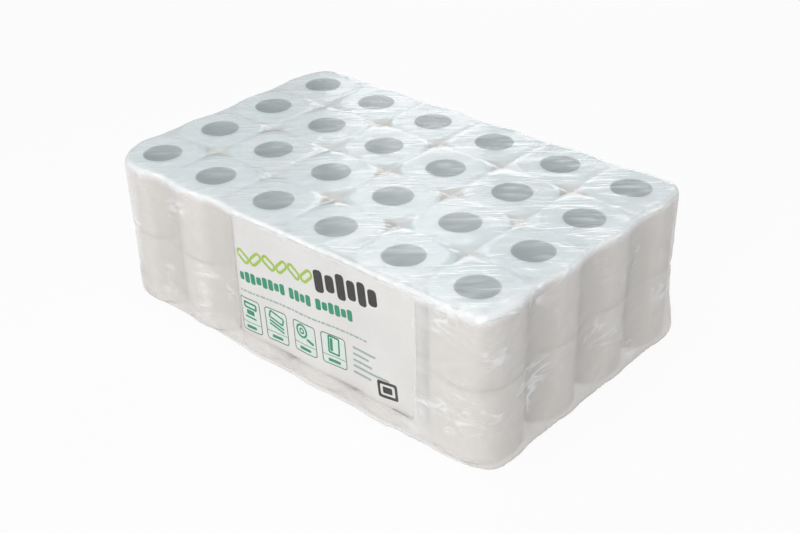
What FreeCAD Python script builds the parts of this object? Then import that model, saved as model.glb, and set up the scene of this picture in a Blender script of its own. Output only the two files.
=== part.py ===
import FreeCAD, Part
import math
import os

import Sketcher

# A pack of soft paper rolls: two layers of four rows of six rolls on end,
# under one taut clear film, with a printed sheet between film and rolls.
# +Z is up, +X runs along the rows and -Y is the face with the sheet.
# The origin is the middle of the film's flat underside.

doc = FreeCAD.newDocument("toilet_roll_pack")

# Driving dimensions, in millimetres and counts
dimensions = [
    ("columns", 6),
    ("rows", 4),
    ("roll_width", 106.7),
    ("roll_depth", 100.7),
    ("roll_height", 101.0),
    ("roll_flat", 10.0),
    ("roll_edge", 7.0),
    ("clearance", 0.3),
    ("core_bore", 50.0),
    ("core_wall", 0.8),
    ("core_fit", 0.15),
    ("film_wall", 0.3),
    ("valley_dip", 10.0),
    ("covered_dip", 2.0),
    ("waist_dip", 1.5),
    ("dimple_reach", 34.0),
    ("dimple_waist", 15.0),
    ("dimple_depth", 3.0),
    ("crease_length", 72.0),
    ("crease_width", 5.0),
    ("crease_height", 0.8),
    ("sheet_wall", 0.25),
    ("sheet_left", -77.4),
    ("sheet_width", 297.0),
    ("sheet_bottom", 29.0),
    ("sheet_height", 168.0),
]
table = doc.addObject("Spreadsheet::Sheet", "Dimensions")
for line, (alias, value) in enumerate(dimensions, start=1):
    table.set(f"A{line}", alias)
    table.set(f"B{line}", str(value))
    table.setAlias(f"B{line}", alias)
doc.recompute()


def size(alias):
    return float(table.get(alias))


columns = int(size("columns"))
rows = int(size("rows"))
clearance = size("clearance")
film_wall = size("film_wall")
roll_height = size("roll_height")
roll_edge = size("roll_edge")

# Rolls stand on a square grid, pressed a little flat where they meet
pitch_x = size("roll_width") + clearance
pitch_y = size("roll_depth") + clearance
corner_radius = (min(size("roll_width"), size("roll_depth")) - size("roll_flat")) / 2
flat_x = size("roll_width") / 2 - corner_radius
flat_y = size("roll_depth") / 2 - corner_radius
reach_x = (columns * pitch_x - clearance) / 2
reach_y = (rows * pitch_y - clearance) / 2
hole_radius = size("core_bore") / 2 + size("core_wall") + size("core_fit")

# Heights of the two layers, with the film under and over them
lower_base = film_wall + clearance
upper_base = lower_base + roll_height + clearance
layers = [("lower", lower_base), ("upper", upper_base)]
pack_height = upper_base + roll_height + clearance + film_wall
row_letters = "abcdefghij"[:rows]

# Round the sides the film also leaves room for the printed sheet
film_gap = clearance + size("sheet_wall") + clearance

subparts = []


def column_x(column):
    return (column - (columns - 1) / 2) * pitch_x


def row_y(row):
    return (row - (rows - 1) / 2) * pitch_y


def keep(piece, name):
    piece.Label = name
    subparts.append(piece)


# Paper rolls
def draw_roll_section(sketch):
    axis = FreeCAD.Vector(0, 0, 1)
    centre_x = size("roll_width") / 2 - corner_radius
    centre_y = size("roll_depth") / 2 - corner_radius
    for side_x, side_y, start in [(1, -1, 270), (1, 1, 0), (-1, 1, 90), (-1, -1, 180)]:
        centre = FreeCAD.Vector(side_x * centre_x, side_y * centre_y, 0)
        circle = Part.Circle(centre, axis, corner_radius)
        sketch.addGeometry(Part.ArcOfCircle(circle, math.radians(start), math.radians(start + 90)))
    for first in range(4):
        second = (first + 1) % 4
        run = Part.LineSegment(sketch.Geometry[first].EndPoint, sketch.Geometry[second].StartPoint)
        flat = sketch.addGeometry(run)
        sketch.addConstraint(Sketcher.Constraint("Tangent", first, 2, flat, 1))
        sketch.addConstraint(Sketcher.Constraint("Tangent", flat, 2, second, 1))
        sketch.addConstraint(Sketcher.Constraint("Horizontal" if first % 2 else "Vertical", flat))
    for other in (1, 2, 3):
        sketch.addConstraint(Sketcher.Constraint("Equal", 0, other))
    sketch.addConstraint(Sketcher.Constraint("Symmetric", 0, 3, 2, 3, -1, 1))
    hole = sketch.addGeometry(Part.Circle(FreeCAD.Vector(), axis, hole_radius))
    sketch.addConstraint(Sketcher.Constraint("Coincident", hole, 3, -1, 1))
    bound = [
        (Sketcher.Constraint("Radius", 0, corner_radius),
         "(min(Dimensions.roll_width; Dimensions.roll_depth) - Dimensions.roll_flat) / 2"),
        (Sketcher.Constraint("DistanceX", 6, 1, 4, 1, size("roll_width")), "Dimensions.roll_width"),
        (Sketcher.Constraint("DistanceY", 7, 1, 5, 1, size("roll_depth")), "Dimensions.roll_depth"),
        (Sketcher.Constraint("Radius", hole, hole_radius),
         "Dimensions.core_bore / 2 + Dimensions.core_wall + Dimensions.core_fit"),
    ]
    for constraint, formula in bound:
        place = sketch.addConstraint(constraint)
        sketch.setExpression(f"Constraints[{place}]", formula)


def start_roll(name, place):
    body = doc.addObject("PartDesign::Body", name)
    sketch = body.newObject("Sketcher::SketchObject", name + "_section")
    planes = body.Origin.OriginFeatures
    sketch.AttachmentSupport = [(next(p for p in planes if p.Role == "XY_Plane"), "")]
    sketch.MapMode = "FlatFace"
    draw_roll_section(sketch)
    pad = body.newObject("PartDesign::Pad", name + "_block")
    pad.Profile = sketch
    pad.setExpression("Length", "Dimensions.roll_height")
    body.Placement = FreeCAD.Placement(place, FreeCAD.Rotation())
    keep(body, name)
    return body


# Rims are rounded in flat facets, all tangent to one circle of the rim's radius:
# the first cut makes the facet at 45 degrees and the second those beside it
first_cut = 2 - math.sqrt(2)
second_cut = math.tan(math.radians(22.5)) - math.tan(math.radians(11.25))


# Both ends of a roll have soft rims, on the outside only
def cut_rims(body, step, share):
    solid = body.Tip
    rims = []
    for number, edge in enumerate(solid.Shape.Edges, start=1):
        middle = edge.CenterOfMass
        level = edge.BoundBox.ZLength < clearance
        if level and math.hypot(middle.x, middle.y) > hole_radius:
            rims.append(f"Edge{number}")
    chamfer = body.newObject("PartDesign::Chamfer", f"{body.Name}_rims_{step}")
    chamfer.Base = (solid, rims)
    chamfer.setExpression("Size", f"Dimensions.roll_edge * {share}")
    body.Tip = chamfer


rolls = []
for layer, base in layers:
    for row in range(rows):
        for column in range(columns):
            name = f"{layer}_roll_{row_letters[row]}{column + 1}"
            place = FreeCAD.Vector(column_x(column), row_y(row), base)
            rolls.append(start_roll(name, place))
doc.recompute()
for step, share in [("first", first_cut), ("second", second_cut)]:
    for roll in rolls:
        cut_rims(roll, step, share)
    doc.recompute()


# Board cores: one node for each row, with a separate tube in every roll
def make_tube(name, place):
    outer = doc.addObject("Part::Cylinder", name + "_outside")
    outer.setExpression("Radius", "Dimensions.core_bore / 2 + Dimensions.core_wall")
    outer.setExpression("Height", "Dimensions.roll_height")
    bore = doc.addObject("Part::Cylinder", name + "_bore")
    bore.setExpression("Radius", "Dimensions.core_bore / 2")
    bore.setExpression("Height", "Dimensions.roll_height")
    tube = doc.addObject("Part::Cut", name)
    tube.Base = outer
    tube.Tool = bore
    tube.Placement = FreeCAD.Placement(place, FreeCAD.Rotation())
    return tube


for layer, base in layers:
    for row in range(rows):
        name = f"{layer}_cores_{row_letters[row]}"
        tubes = []
        for column in range(columns):
            place = FreeCAD.Vector(column_x(column), row_y(row), base)
            tubes.append(make_tube(f"{name}_{column + 1}", place))
        group = doc.addObject("Part::Compound", name)
        group.Links = tubes
        keep(group, name)


# Outline of the pack from above: out round each roll and in at each valley
def polar(centre, out, along, radius, angle):
    return centre + out * (radius * math.cos(angle)) + along * (radius * math.sin(angle))


def arc(centre, out, along, radius, start, end):
    points = [polar(centre, out, along, radius, a) for a in (start, (start + end) / 2, end)]
    return Part.Arc(*points).toShape()


def valley_edges(centre, out, along, half_span, dip, offset):
    turn = 2 * math.atan(dip / half_span)
    inner_radius = half_span / math.sin(turn) - corner_radius
    hollow = centre + along * half_span + out * (half_span / math.tan(turn))
    far = centre + along * (2 * half_span)
    round_radius = corner_radius + offset
    return [
        arc(centre, out, along, round_radius, 0, turn),
        arc(hollow, out * -1, along, inner_radius - offset, -turn, turn),
        arc(far, out, along, round_radius, -turn, 0),
    ]


# One face of the outline runs from the first roll's middle round the last one
def face_edges(start, out, along, flat, half_span, dips, offset):
    edges = []
    centre = start
    for dip in dips + [None]:
        next_centre = centre + along * (2 * flat)
        shift = out * (corner_radius + offset)
        edges.append(Part.LineSegment(centre + shift, next_centre + shift).toShape())
        if dip is None:
            edges.append(arc(next_centre, out, along, corner_radius + offset, 0, math.pi / 2))
        else:
            edges += valley_edges(next_centre, out, along, half_span, dip, offset)
            centre = next_centre + along * (2 * half_span)
    return edges


sheet_right = size("sheet_left") + size("sheet_width")


# The stiff sheet bridges the valleys that it covers
def front_dip(valley):
    x = (valley + 1 - columns / 2) * pitch_x
    covered = size("sheet_left") - flat_x < x < sheet_right + flat_x
    return size("covered_dip") if covered else size("valley_dip")


def outline(offset):
    centre_x = reach_x - corner_radius
    centre_y = reach_y - corner_radius
    half_x = pitch_x / 2 - flat_x
    half_y = pitch_y / 2 - flat_y
    plus_x = FreeCAD.Vector(1, 0, 0)
    plus_y = FreeCAD.Vector(0, 1, 0)
    front_dips = [front_dip(valley) for valley in range(columns - 1)]
    back_dips = [size("valley_dip")] * (columns - 1)
    end_dips = [size("valley_dip")] * (rows - 1)
    faces = [
        ((-1, -1), plus_y * -1, plus_x, flat_x, half_x, front_dips),
        ((1, -1), plus_x, plus_y, flat_y, half_y, end_dips),
        ((1, 1), plus_y, plus_x * -1, flat_x, half_x, back_dips),
        ((-1, 1), plus_x * -1, plus_y * -1, flat_y, half_y, end_dips),
    ]
    edges = []
    for (side_x, side_y), out, along, flat, half_span, dips in faces:
        corner = FreeCAD.Vector(side_x * centre_x, side_y * centre_y, 0)
        edges += face_edges(corner, out, along, flat, half_span, dips, offset)
    return Part.Wire(edges)


def slab(offset, bottom, top):
    face = Part.Face(outline(offset))
    face.translate(FreeCAD.Vector(0, 0, bottom))
    return face.extrude(FreeCAD.Vector(0, 0, top - bottom))


# One layer of the wrap, its rims with the wide facet alone
def layer_block(offset, bottom, top, rim):
    block = slab(offset, bottom, top)
    rims = [edge for edge in block.Edges if edge.BoundBox.ZLength < clearance]
    return block.makeChamfer(rim * first_cut, rims)


# A neck joins the layers at the waist and is full width behind the printed sheet
def waist(offset, cover, bottom, top):
    behind = Part.makeBox(
        size("sheet_width") + 2 * cover, reach_y, top - bottom,
        FreeCAD.Vector(size("sheet_left") - cover, -reach_y - corner_radius, bottom),
    )
    patch = slab(offset, bottom, top).common(behind)
    return slab(offset - size("waist_dip"), bottom, top).fuse(patch)


def stacked_layers(offset, cover):
    rim = roll_edge + cover
    neck = waist(offset, cover, upper_base - rim, upper_base + rim)
    for layer, base in layers:
        neck = neck.fuse(layer_block(offset, base - cover, base + roll_height + cover, rim))
    return neck.removeSplitter()


def faceted_solid(ring, peaks):
    faces = []
    for first, second in zip(ring, ring[1:] + ring[:1]):
        for peak in peaks:
            faces.append(Part.Face(Part.makePolygon([first, second, peak, first])))
    solid = Part.Solid(Part.Shell(faces))
    if solid.Volume < 0:
        solid.reverse()
    return solid


# The film sinks a little into the four-pointed gap between four rolls
def dimples(inset):
    stars = []
    for row in range(rows - 1):
        for column in range(columns - 1):
            middle = FreeCAD.Vector(
                (column_x(column) + column_x(column + 1)) / 2,
                (row_y(row) + row_y(row + 1)) / 2,
                pack_height - inset,
            )
            ring = []
            for point in range(8):
                reach = size("dimple_waist") if point % 2 else size("dimple_reach")
                turn = math.radians(45 * point)
                ring.append(middle + FreeCAD.Vector(reach * math.cos(turn), reach * math.sin(turn), 0))
            foot = middle - FreeCAD.Vector(0, 0, size("dimple_depth"))
            stars.append(faceted_solid(ring, [middle, foot]))
    return stars


# A crease in the film is a long low ridge with pointed ends
def crease(middle, along, out):
    end = along * (size("crease_length") / 2)
    side = along.cross(out) * (size("crease_width") / 2)
    ring = [middle + end, middle + side, middle - end, middle - side]
    peaks = [middle + out * size("crease_height"), middle - out * (film_wall / 2)]
    return faceted_solid(ring, peaks)


def creases():
    up = FreeCAD.Vector(0, 0, 1)
    ridges = []
    for row in range(rows):
        for column in range(columns):
            turn = math.radians(42 + 9 * math.sin(5 * column + 3 * row))
            along = FreeCAD.Vector(math.cos(turn), math.sin(turn), 0)
            aside = up.cross(along) * (size("core_bore") / 2 + size("crease_width") * 2)
            if (row + column) % 2:
                aside = aside * -1
            centre = FreeCAD.Vector(column_x(column), row_y(row), pack_height)
            ridges.append(crease(centre + aside, along, up))
    for side_x in (-1, 1):
        for side_y in (-1, 1):
            corner = FreeCAD.Vector(side_x * (reach_x - corner_radius), side_y * (reach_y - corner_radius), 0)
            for degrees in (22, 45, 68):
                turn = math.radians(degrees)
                out = FreeCAD.Vector(side_x * math.cos(turn), side_y * math.sin(turn), 0)
                level = upper_base + roll_height / 2
                surface = corner + out * (corner_radius + film_gap + film_wall)
                ridges.append(crease(surface + up * level, up, out))
    return ridges


def make_film():
    film = doc.addObject("Part::Feature", "film_wrap")
    outside = stacked_layers(film_gap + film_wall, clearance + film_wall)
    inside = stacked_layers(film_gap, clearance)
    outside = outside.cut(dimples(0)).fuse(creases())
    inside = inside.cut(dimples(film_wall))
    film.Shape = outside.cut(inside)
    keep(film, "film_wrap")


# The printed sheet follows the rolls' fronts, just under the film
def make_sheet():
    piece = doc.addObject("Part::Feature", "label_sheet")
    bottom = size("sheet_bottom")
    top = bottom + size("sheet_height")
    front = slab(clearance + size("sheet_wall"), bottom, top)
    back = slab(clearance, bottom, top)
    area = Part.makeBox(
        size("sheet_width"), reach_y, top - bottom,
        FreeCAD.Vector(size("sheet_left"), -reach_y - corner_radius, bottom),
    )
    piece.Shape = front.cut(back).common(area)
    keep(piece, "label_sheet")


make_film()
make_sheet()
doc.recompute()

for thing in doc.Objects:
    broken = [state for state in thing.State if state in ("Invalid", "Error")]
    if broken:
        raise RuntimeError(f"{thing.Name} is {broken}")
for piece in subparts:
    if piece.Shape.isNull() or not piece.Shape.isValid():
        raise RuntimeError(f"{piece.Label} has no valid shape")

os.makedirs("parts", exist_ok=True)
for piece in subparts:
    piece.Shape.exportStep(f"parts/{piece.Label}.step")
print(len(subparts), "sub-parts,", round(pack_height, 2), "mm high")
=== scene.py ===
import math

import bmesh
import bpy
import numpy as np
from mathutils import Matrix, Vector, noise
from mathutils.bvhtree import BVHTree


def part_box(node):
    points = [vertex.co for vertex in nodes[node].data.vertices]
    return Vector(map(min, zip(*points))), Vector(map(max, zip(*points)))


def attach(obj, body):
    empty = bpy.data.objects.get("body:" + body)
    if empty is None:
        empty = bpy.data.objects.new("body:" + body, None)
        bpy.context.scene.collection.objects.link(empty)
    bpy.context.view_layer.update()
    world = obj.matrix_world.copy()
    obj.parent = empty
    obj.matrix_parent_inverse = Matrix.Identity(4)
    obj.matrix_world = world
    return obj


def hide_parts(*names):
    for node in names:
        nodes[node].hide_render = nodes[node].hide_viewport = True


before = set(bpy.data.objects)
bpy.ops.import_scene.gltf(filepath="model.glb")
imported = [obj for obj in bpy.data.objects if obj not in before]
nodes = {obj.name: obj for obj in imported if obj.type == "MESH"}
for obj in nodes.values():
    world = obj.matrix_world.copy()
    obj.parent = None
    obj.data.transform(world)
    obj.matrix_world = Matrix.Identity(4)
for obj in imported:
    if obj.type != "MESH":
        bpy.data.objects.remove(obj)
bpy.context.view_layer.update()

print("frame loaded")

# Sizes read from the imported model, in metres
rollNodes = sorted(name for name in nodes if "_roll_" in name)
coreNodes = sorted(name for name in nodes if "_cores_" in name)
columns, rows = 6, 4
coreRoom = 0.00015   # between a core and its roll


def boxOf(node):
    low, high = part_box(node)
    return Vector(low), Vector(high)


firstLow, firstHigh = boxOf("upper_roll_a1")
lastLow, lastHigh = boxOf("upper_roll_d6")
sheetLow, sheetHigh = boxOf("label_sheet")
filmLow, filmHigh = boxOf("film_wrap")
coreLow, coreHigh = boxOf(coreNodes[0])
holeRadius = (coreHigh.y - coreLow.y) / 2 + coreRoom
rollHalfX = (firstHigh.x - firstLow.x) / 2
rollHalfY = (firstHigh.y - firstLow.y) / 2
pitchX = (lastLow.x - firstLow.x) / (columns - 1)
pitchY = (lastLow.y - firstLow.y) / (rows - 1)
waistHeight = (boxOf("lower_roll_a1")[1].z + firstLow.z) / 2   # where the layers meet
packTop = firstHigh.z
cornerX = lastHigh.x - rollHalfX   # middles of the corner rolls
cornerY = lastHigh.y - rollHalfY


def addPiece(name, bm, material, replaced=()):
    mesh = bpy.data.meshes.new(name)
    bm.to_mesh(mesh)
    bm.free()
    piece = bpy.data.objects.new(name, mesh)
    bpy.context.scene.collection.objects.link(piece)
    mesh.materials.append(material)
    mesh.shade_smooth()
    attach(piece, "root")
    if replaced:
        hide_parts(*replaced)
    return piece


# Shader helpers
def newMaterial(name):
    material = bpy.data.materials.new(name)
    material.use_nodes = True
    tree = material.node_tree
    shader = tree.nodes["Principled BSDF"]
    return material, tree, shader


def addNode(tree, kind, **values):
    node = tree.nodes.new(kind)
    for key, value in values.items():
        setattr(node, key, value)
    return node


def mathNode(tree, operation, first, second=None, third=None):
    node = addNode(tree, "ShaderNodeMath", operation=operation)
    for place, value in enumerate((first, second, third)):
        if value is None:
            continue
        if isinstance(value, (int, float)):
            node.inputs[place].default_value = value
        else:
            tree.links.new(value, node.inputs[place])
    return node.outputs[0]


def product(tree, first, *others):
    for other in others:
        first = mathNode(tree, "MULTIPLY", first, other)
    return first


def rampNode(tree, value, low, high, fromValue=0.0, toValue=1.0):
    node = addNode(tree, "ShaderNodeMapRange", interpolation_type="SMOOTHSTEP")
    tree.links.new(value, node.inputs["Value"])
    node.inputs["From Min"].default_value = low
    node.inputs["From Max"].default_value = high
    node.inputs["To Min"].default_value = fromValue
    node.inputs["To Max"].default_value = toValue
    return node.outputs["Result"]


def mixColour(tree, mask, first, second):
    node = addNode(tree, "ShaderNodeMix", data_type="RGBA")
    if isinstance(mask, float):
        node.inputs["Factor"].default_value = mask
    else:
        tree.links.new(mask, node.inputs["Factor"])
    for socket, value in ((node.inputs[6], first), (node.inputs[7], second)):
        if isinstance(value, tuple):
            socket.default_value = (*value, 1.0)
        else:
            tree.links.new(value, socket)
    return node.outputs[2]


def bumpNode(tree, height, distance, strength=1.0, normal=None):
    node = addNode(tree, "ShaderNodeBump")
    node.inputs["Strength"].default_value = strength
    node.inputs["Distance"].default_value = distance
    tree.links.new(height, node.inputs["Height"])
    if normal is not None:
        tree.links.new(normal, node.inputs["Normal"])
    return node.outputs["Normal"]


def noiseNode(tree, vector, scale, detail=2.0, roughness=0.5, distortion=0.0):
    node = addNode(tree, "ShaderNodeTexNoise")
    tree.links.new(vector, node.inputs["Vector"])
    node.inputs["Scale"].default_value = scale
    node.inputs["Detail"].default_value = detail
    node.inputs["Roughness"].default_value = roughness
    node.inputs["Distortion"].default_value = distortion
    return node.outputs["Fac"]


def turnedPoint(tree, scale=(1.0, 1.0, 1.0), turn=(0.0, 0.0, 0.0)):
    place = addNode(tree, "ShaderNodeTexCoord").outputs["Object"]
    mapping = addNode(tree, "ShaderNodeMapping")
    mapping.inputs["Rotation"].default_value = turn
    tree.links.new(place, mapping.inputs["Vector"])
    stretch = addNode(tree, "ShaderNodeMapping")
    stretch.inputs["Scale"].default_value = scale
    tree.links.new(mapping.outputs[0], stretch.inputs["Vector"])
    return stretch.outputs[0]


# Group: fine threads of stretched film, drawn out along one direction
def makeThreadGroup():
    group = bpy.data.node_groups.new("filmThreads", "ShaderNodeTree")
    sockets = (("Vector", "NodeSocketVector"), ("Scale", "NodeSocketFloat"), ("Width", "NodeSocketFloat"))
    for label, kind in sockets:
        group.interface.new_socket(name=label, in_out="INPUT", socket_type=kind)
    group.interface.new_socket(name="Ridge", in_out="OUTPUT", socket_type="NodeSocketFloat")
    start = group.nodes.new("NodeGroupInput")
    end = group.nodes.new("NodeGroupOutput")
    texture = group.nodes.new("ShaderNodeTexNoise")
    texture.inputs["Detail"].default_value = 1.0
    texture.inputs["Distortion"].default_value = 0.35
    group.links.new(start.outputs["Vector"], texture.inputs["Vector"])
    group.links.new(start.outputs["Scale"], texture.inputs["Scale"])
    centred = mathNode(group, "SUBTRACT", texture.outputs["Fac"], 0.5)
    folded = mathNode(group, "ABSOLUTE", centred)
    ridge = rampNode(group, folded, 0.0, 0.05, 1.0, 0.0)
    group.links.new(start.outputs["Width"], ridge.node.inputs["From Max"])
    group.links.new(ridge, end.inputs["Ridge"])
    return group


threadGroup = makeThreadGroup()


def threads(tree, vector, scale, width=0.045):
    node = addNode(tree, "ShaderNodeGroup", node_tree=threadGroup)
    tree.links.new(vector, node.inputs["Vector"])
    node.inputs["Scale"].default_value = scale
    node.inputs["Width"].default_value = width
    return node.outputs["Ridge"]


# Tissue: soft paper with pressed dots, and fine turns on both ends of a roll
tissue = {
    "colour": (0.87, 0.86, 0.85),
    "shade": (0.82, 0.805, 0.79),
    "cloudScale": 35.0,
    "dotPitch": 0.0034,
    "dotDepth": 0.00016,
    "turnPitch": 0.0016,
    "turnDepth": 0.00025,
    "wobbleScale": 60.0,
    "grainScale": 700.0,
    "grainDepth": 0.0002,
    "roughness": 0.92,
    "specular": 0.2,
    "sheen": 0.15,
}


# Distance of a point from its own roll's axis, from where it is in the grid
def rollRadius(tree):
    place = addNode(tree, "ShaderNodeTexCoord").outputs["Object"]
    parts = addNode(tree, "ShaderNodeSeparateXYZ")
    tree.links.new(place, parts.inputs[0])
    legs = []
    for output, pitch, count in ((parts.outputs[0], pitchX, columns), (parts.outputs[1], pitchY, rows)):
        start = count / 2 * pitch
        inCell = mathNode(tree, "FLOORED_MODULO", mathNode(tree, "ADD", output, start), pitch)
        legs.append(mathNode(tree, "SUBTRACT", inCell, pitch / 2))
    squares = [mathNode(tree, "MULTIPLY", leg, leg) for leg in legs]
    radius = mathNode(tree, "SQRT", mathNode(tree, "ADD", *squares))
    return radius, legs, parts.outputs[2]


def makeTissue():
    material, tree, shader = newMaterial("softTissue")
    radius, legs, height = rollRadius(tree)
    normal = addNode(tree, "ShaderNodeNewGeometry").outputs["Normal"]
    normalParts = addNode(tree, "ShaderNodeSeparateXYZ")
    tree.links.new(normal, normalParts.inputs[0])
    onEnd = rampNode(tree, mathNode(tree, "ABSOLUTE", normalParts.outputs[2]), 0.7, 0.95)
    turns = mathNode(tree, "SINE", mathNode(tree, "MULTIPLY", radius, 2 * math.pi / tissue["turnPitch"]))
    wobble = noiseNode(tree, turnedPoint(tree), tissue["wobbleScale"], 3.0)
    turns = product(tree, turns, wobble, onEnd)
    angle = mathNode(tree, "ARCTAN2", legs[1], legs[0])
    along = mathNode(tree, "MULTIPLY", angle, rollHalfX)
    wave = 2 * math.pi / tissue["dotPitch"]
    across = mathNode(tree, "SINE", mathNode(tree, "MULTIPLY", along, wave))
    upward = mathNode(tree, "SINE", mathNode(tree, "MULTIPLY", height, wave))
    dots = mathNode(tree, "MAXIMUM", product(tree, across, upward), 0.0)
    dots = product(tree, dots, mathNode(tree, "SUBTRACT", 1.0, onEnd))
    cloud = noiseNode(tree, turnedPoint(tree), tissue["cloudScale"], 4.0, 0.6)
    tone = mathNode(tree, "ADD", mathNode(tree, "MULTIPLY", turns, 0.35), cloud)
    colour = mixColour(tree, rampNode(tree, tone, 0.25, 0.8), tissue["shade"], tissue["colour"])
    tree.links.new(colour, shader.inputs["Base Color"])
    grain = noiseNode(tree, turnedPoint(tree), tissue["grainScale"], 3.0)
    bumped = bumpNode(tree, turns, tissue["turnDepth"])
    bumped = bumpNode(tree, dots, tissue["dotDepth"], normal=bumped)
    bumped = bumpNode(tree, grain, tissue["grainDepth"], 0.5, bumped)
    tree.links.new(bumped, shader.inputs["Normal"])
    shader.inputs["Roughness"].default_value = tissue["roughness"]
    shader.inputs["Specular IOR Level"].default_value = tissue["specular"]
    shader.inputs["Sheen Weight"].default_value = tissue["sheen"]
    return material


# Core board: grey pulp with a spiral seam
board = {
    "colour": (0.45, 0.505, 0.50),
    "fleck": (0.325, 0.355, 0.35),
    "seamPitch": 0.062,
    "seamWidth": 0.0016,
    "pulpScale": 420.0,
    "pulpDepth": 0.0003,
    "roughness": 0.88,
}


def makeBoard():
    material, tree, shader = newMaterial("greyCoreBoard")
    legs, height = rollRadius(tree)[1:]
    angle = mathNode(tree, "ARCTAN2", legs[1], legs[0])
    turn = mathNode(tree, "MULTIPLY", angle, board["seamPitch"] / (2 * math.pi))
    climb = mathNode(tree, "FLOORED_MODULO", mathNode(tree, "ADD", height, turn), board["seamPitch"])
    seam = rampNode(tree, climb, 0.0, board["seamWidth"], 1.0, 0.0)
    pulp = noiseNode(tree, turnedPoint(tree), board["pulpScale"], 5.0, 0.7)
    fleck = mathNode(tree, "MAXIMUM", rampNode(tree, pulp, 0.55, 0.75), product(tree, seam, 0.8))
    tree.links.new(mixColour(tree, fleck, board["colour"], board["fleck"]), shader.inputs["Base Color"])
    relief = mathNode(tree, "SUBTRACT", pulp, seam)
    tree.links.new(bumpNode(tree, relief, board["pulpDepth"]), shader.inputs["Normal"])
    shader.inputs["Roughness"].default_value = board["roughness"]
    return material


# Printed sheet: smooth white paper with a little fibre
paper = {
    "shade": (0.79, 0.775, 0.76),
    "colour": (0.84, 0.83, 0.815),
    "fibreScale": 260.0,
    "fibreDepth": 0.0001,
    "cloudScale": 14.0,
    "roughness": 0.7,
}


def makePaper():
    material, tree, shader = newMaterial("smoothPaper")
    fibre = noiseNode(tree, turnedPoint(tree, scale=(1.0, 1.0, 0.4)), paper["fibreScale"], 4.0, 0.6)
    cloud = noiseNode(tree, turnedPoint(tree), paper["cloudScale"], 2.0)
    tone = rampNode(tree, mathNode(tree, "ADD", product(tree, fibre, 0.3), cloud), 0.4, 0.9)
    tree.links.new(mixColour(tree, tone, paper["shade"], paper["colour"]), shader.inputs["Base Color"])
    tree.links.new(bumpNode(tree, fibre, paper["fibreDepth"], 0.6), shader.inputs["Normal"])
    shader.inputs["Roughness"].default_value = paper["roughness"]
    return material


# Film: milky where it lies on paper, whiter where creased or gathered (stress whitening with painted
# highlights), with a painted cool sheen on top and painted shade in valleys, joints and gaps
filmLook = {
    # the top is painted a cool blue-white, as a sheen of the overhead light; the sides stay warm grey
    "topPaintedSheen": (0.775, 0.85, 0.865),
    "sideTint": (0.79, 0.747, 0.715),
    # painted shade in the valleys between rolls and along the waist between layers
    "valleyPaintedShade": (0.685, 0.645, 0.613),
    # a star gap is painted with the light on the paper walls inside it
    "gapPaintedLitWall": (0.74, 0.735, 0.70),
    # painted shade on the front side of a gap
    "gapPaintedShade": (0.53, 0.52, 0.49),
    # painted shade along the joints between rolls
    "seamPaintedShade": (0.61, 0.675, 0.69),
    # white of creases and threads, which also paints their highlights and glints
    "whiteAndHighlight": (0.96, 0.97, 0.97),
    "topHaze": 0.72,
    "sideHaze": 0.60,
    "valleyHaze": 0.80,
    "jointHaze": 0.90,
    "holeHaze": 0.41,
    "gapHaze": 0.86,
    "sheetHaze": 0.035,
    "bareHaze": 0.12,
    "creaseHaze": 0.30,
    "threadHaze": 0.10,
    "mostHaze": 0.96,
    "cloudScale": 26.0,
    "shadowShare": 0.1,         # of the haze, for the film's own shadow
    # how much each mark is whitened: stress whitening together with painted highlights and glints
    "creaseWhite": 0.8,
    "topThreadWhiteAndGlint": 0.4,
    "sideThreadWhiteAndGlint": 1.9,
    "foldWhiteAndGlint": 0.12,
    "topThreadDepth": 0.0007,
    "sideThreadDepth": 0.0016,
    "foldDepth": 0.0006,
    "waveDepth": 0.0012,
    "foldScale": 46.0,
    "warpScale": 12.0,
    "warp": 0.03,
    "roughness": 0.13,
    "specular": 0.75,
    "threadTurn": math.radians(-41.7),
    "backEdge": (0.10, 0.185),  # threads grow faint between these
    "cornerRadius": 0.0445,
    "starWidth": (0.001, 0.006),
    "starRag": 0.007,
    "leastStar": 0.42,
    "seamWidth": 0.0016,
    "seamStrength": (1.0, 0.55),
}


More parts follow.
